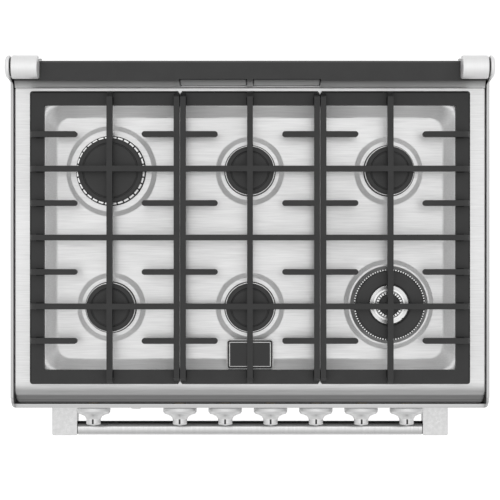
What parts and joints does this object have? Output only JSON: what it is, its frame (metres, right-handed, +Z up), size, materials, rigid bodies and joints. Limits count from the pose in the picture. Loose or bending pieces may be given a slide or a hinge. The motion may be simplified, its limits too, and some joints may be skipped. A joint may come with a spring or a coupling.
{
  "type": "freestanding gas range",
  "caption": "Freestanding gas range with a recessed steel cooktop, sealed burners, lift-off cast iron grates, turned front knobs and a drop-down oven door with a bar handle.",
  "frame": {"origin": "on the floor, at the middle of the overall box", "axes": "+Z up, -Y towards the front (door and knobs), +X to the right as seen from the front"},
  "size_m": [0.914, 0.735, 1.0009],
  "materials": {
    "brushed_steel": "brushed stainless steel",
    "satin_steel": "satin turned steel",
    "grey_paint": "dark grey powder coat",
    "galvanised_steel": "galvanised",
    "brass": "turned",
    "oven_enamel": "dark porcelain enamel with fine flecks",
    "black_enamel": "satin black enamel",
    "cast_iron": "matt enamelled cast iron",
    "cast_aluminium": "cast, lightly blasted",
    "chrome": "bright",
    "dark_glass": "tinted",
    "gasket_rubber": "matt"
  },
  "bodies": {
    "cabinet": {"side_panel_left": "brushed_steel", "side_panel_right": "brushed_steel", "control_panel": "brushed_steel", "worktop": "brushed_steel", "backguard": "brushed_steel", "backguard_end_left": "satin_steel", "backguard_end_right": "satin_steel", "base_frame": "grey_paint", "fan_motor": "grey_paint", "rear_panel": "galvanised_steel", "oven_flue": "galvanised_steel", "gas_manifold": "brass", "oven_liner": "oven_enamel", "fan_cover": "oven_enamel", "badge_plate": "black_enamel", "backguard_cap": "black_enamel", "burner_cap_rear_left": "black_enamel", "burner_cap_rear_centre": "black_enamel", "burner_cap_rear_right": "black_enamel", "burner_cap_front_left": "black_enamel", "burner_cap_front_centre": "black_enamel", "burner_cap_front_right_ring": "black_enamel", "burner_cap_front_right_centre": "black_enamel", "burner_head_rear_left": "cast_aluminium", "burner_head_rear_centre": "cast_aluminium", "burner_head_rear_right": "cast_aluminium", "burner_head_front_left": "cast_aluminium", "burner_head_front_centre": "cast_aluminium", "burner_head_front_right": "cast_aluminium", "bake_burner": "cast_aluminium", "broil_burner": "cast_aluminium", "oven_lamp": "dark_glass", "door_gasket": "gasket_rubber"},
    "door": {"door_skin": "brushed_steel", "door_liner": "oven_enamel", "door_glass_outer": "dark_glass", "door_glass_inner": "dark_glass", "door_hinge_left": "galvanised_steel", "door_hinge_right": "galvanised_steel", "handle_bar": "satin_steel", "handle_bracket_left": "satin_steel", "handle_bracket_right": "satin_steel"},
    "rack_lower": {"rack_lower": "chrome"},
    "rack_upper": {"rack_upper": "chrome"},
    "knob_oven": {"knob_oven": "satin_steel"},
    "light_button": {"light_button": "satin_steel"},
    "convection_fan": {"convection_fan": "galvanised_steel"},
    "knob_burner_1": {"knob_burner_1": "satin_steel"},
    "knob_burner_2": {"knob_burner_2": "satin_steel"},
    "knob_burner_3": {"knob_burner_3": "satin_steel"},
    "knob_burner_4": {"knob_burner_4": "satin_steel"},
    "knob_burner_5": {"knob_burner_5": "satin_steel"},
    "knob_burner_6": {"knob_burner_6": "satin_steel"},
    "grate_left": {"grate_left": "cast_iron"},
    "grate_centre": {"grate_centre": "cast_iron"},
    "grate_right": {"grate_right": "cast_iron"},
    "leg_front_left": {"leg_front_left": "satin_steel"},
    "leg_front_right": {"leg_front_right": "satin_steel"},
    "leg_rear_left": {"leg_rear_left": "satin_steel"},
    "leg_rear_right": {"leg_rear_right": "satin_steel"}
  },
  "joints": [
    {"name": "door_hinge", "type": "hinge", "parent": "cabinet", "child": "door", "pos_m": [0, -0.2705, 0.172], "axis": [1, 0, 0], "range_deg": [0, 90], "stiffness_Nm_per_rad": 30, "springref_deg": -22.92},
    {"name": "rack_lower_slide", "type": "slide", "parent": "cabinet", "child": "rack_lower", "axis": [0, -1, 0], "range_m": [0, 0.22]},
    {"name": "rack_upper_slide", "type": "slide", "parent": "cabinet", "child": "rack_upper", "axis": [0, -1, 0], "range_m": [0, 0.22]},
    {"name": "knob_oven_turn", "type": "hinge", "parent": "cabinet", "child": "knob_oven", "pos_m": [-0.307, -0.30445, 0.829], "axis": [0, -0.9962, 0.0872], "range_deg": [0, 270]},
    {"name": "knob_burner_1_turn", "type": "hinge", "parent": "cabinet", "child": "knob_burner_1", "pos_m": [-0.1375, -0.30445, 0.829], "axis": [0, -0.9962, 0.0872], "range_deg": [0, 210]},
    {"name": "knob_burner_2_turn", "type": "hinge", "parent": "cabinet", "child": "knob_burner_2", "pos_m": [-0.0486, -0.30445, 0.829], "axis": [0, -0.9962, 0.0872], "range_deg": [0, 210]},
    {"name": "knob_burner_3_turn", "type": "hinge", "parent": "cabinet", "child": "knob_burner_3", "pos_m": [0.0403, -0.30445, 0.829], "axis": [0, -0.9962, 0.0872], "range_deg": [0, 210]},
    {"name": "knob_burner_4_turn", "type": "hinge", "parent": "cabinet", "child": "knob_burner_4", "pos_m": [0.1292, -0.30445, 0.829], "axis": [0, -0.9962, 0.0872], "range_deg": [0, 210]},
    {"name": "knob_burner_5_turn", "type": "hinge", "parent": "cabinet", "child": "knob_burner_5", "pos_m": [0.2181, -0.30445, 0.829], "axis": [0, -0.9962, 0.0872], "range_deg": [0, 210]},
    {"name": "knob_burner_6_turn", "type": "hinge", "parent": "cabinet", "child": "knob_burner_6", "pos_m": [0.307, -0.30445, 0.829], "axis": [0, -0.9962, 0.0872], "range_deg": [0, 210]},
    {"name": "light_button_push", "type": "slide", "parent": "cabinet", "child": "light_button", "axis": [0, 0.9962, -0.0872], "range_m": [0, 0.003], "stiffness_N_per_m": 400},
    {"name": "convection_fan_spin", "type": "hinge", "parent": "cabinet", "child": "convection_fan", "pos_m": [0, 0.24, 0.43], "axis": [0, -1, 0], "continuous": true},
    {"name": "grate_left_lift", "type": "slide", "parent": "cabinet", "child": "grate_left", "axis": [0, 0, 1], "range_m": [0, 0.15]},
    {"name": "grate_centre_lift", "type": "slide", "parent": "cabinet", "child": "grate_centre", "axis": [0, 0, 1], "range_m": [0, 0.15]},
    {"name": "grate_right_lift", "type": "slide", "parent": "cabinet", "child": "grate_right", "axis": [0, 0, 1], "range_m": [0, 0.15]},
    {"name": "leg_front_left_level", "type": "slide", "parent": "cabinet", "child": "leg_front_left", "axis": [0, 0, -1], "range_m": [0, 0.025]},
    {"name": "leg_front_right_level", "type": "slide", "parent": "cabinet", "child": "leg_front_right", "axis": [0, 0, -1], "range_m": [0, 0.025]},
    {"name": "leg_rear_left_level", "type": "slide", "parent": "cabinet", "child": "leg_rear_left", "axis": [0, 0, -1], "range_m": [0, 0.025]},
    {"name": "leg_rear_right_level", "type": "slide", "parent": "cabinet", "child": "leg_rear_right", "axis": [0, 0, -1], "range_m": [0, 0.025]}
  ],
  "couplings": [
    {"joint": "rack_lower_slide", "follows": "door_hinge", "m_per_rad": 0.14},
    {"joint": "rack_upper_slide", "follows": "door_hinge", "m_per_rad": 0.14}
  ]
}
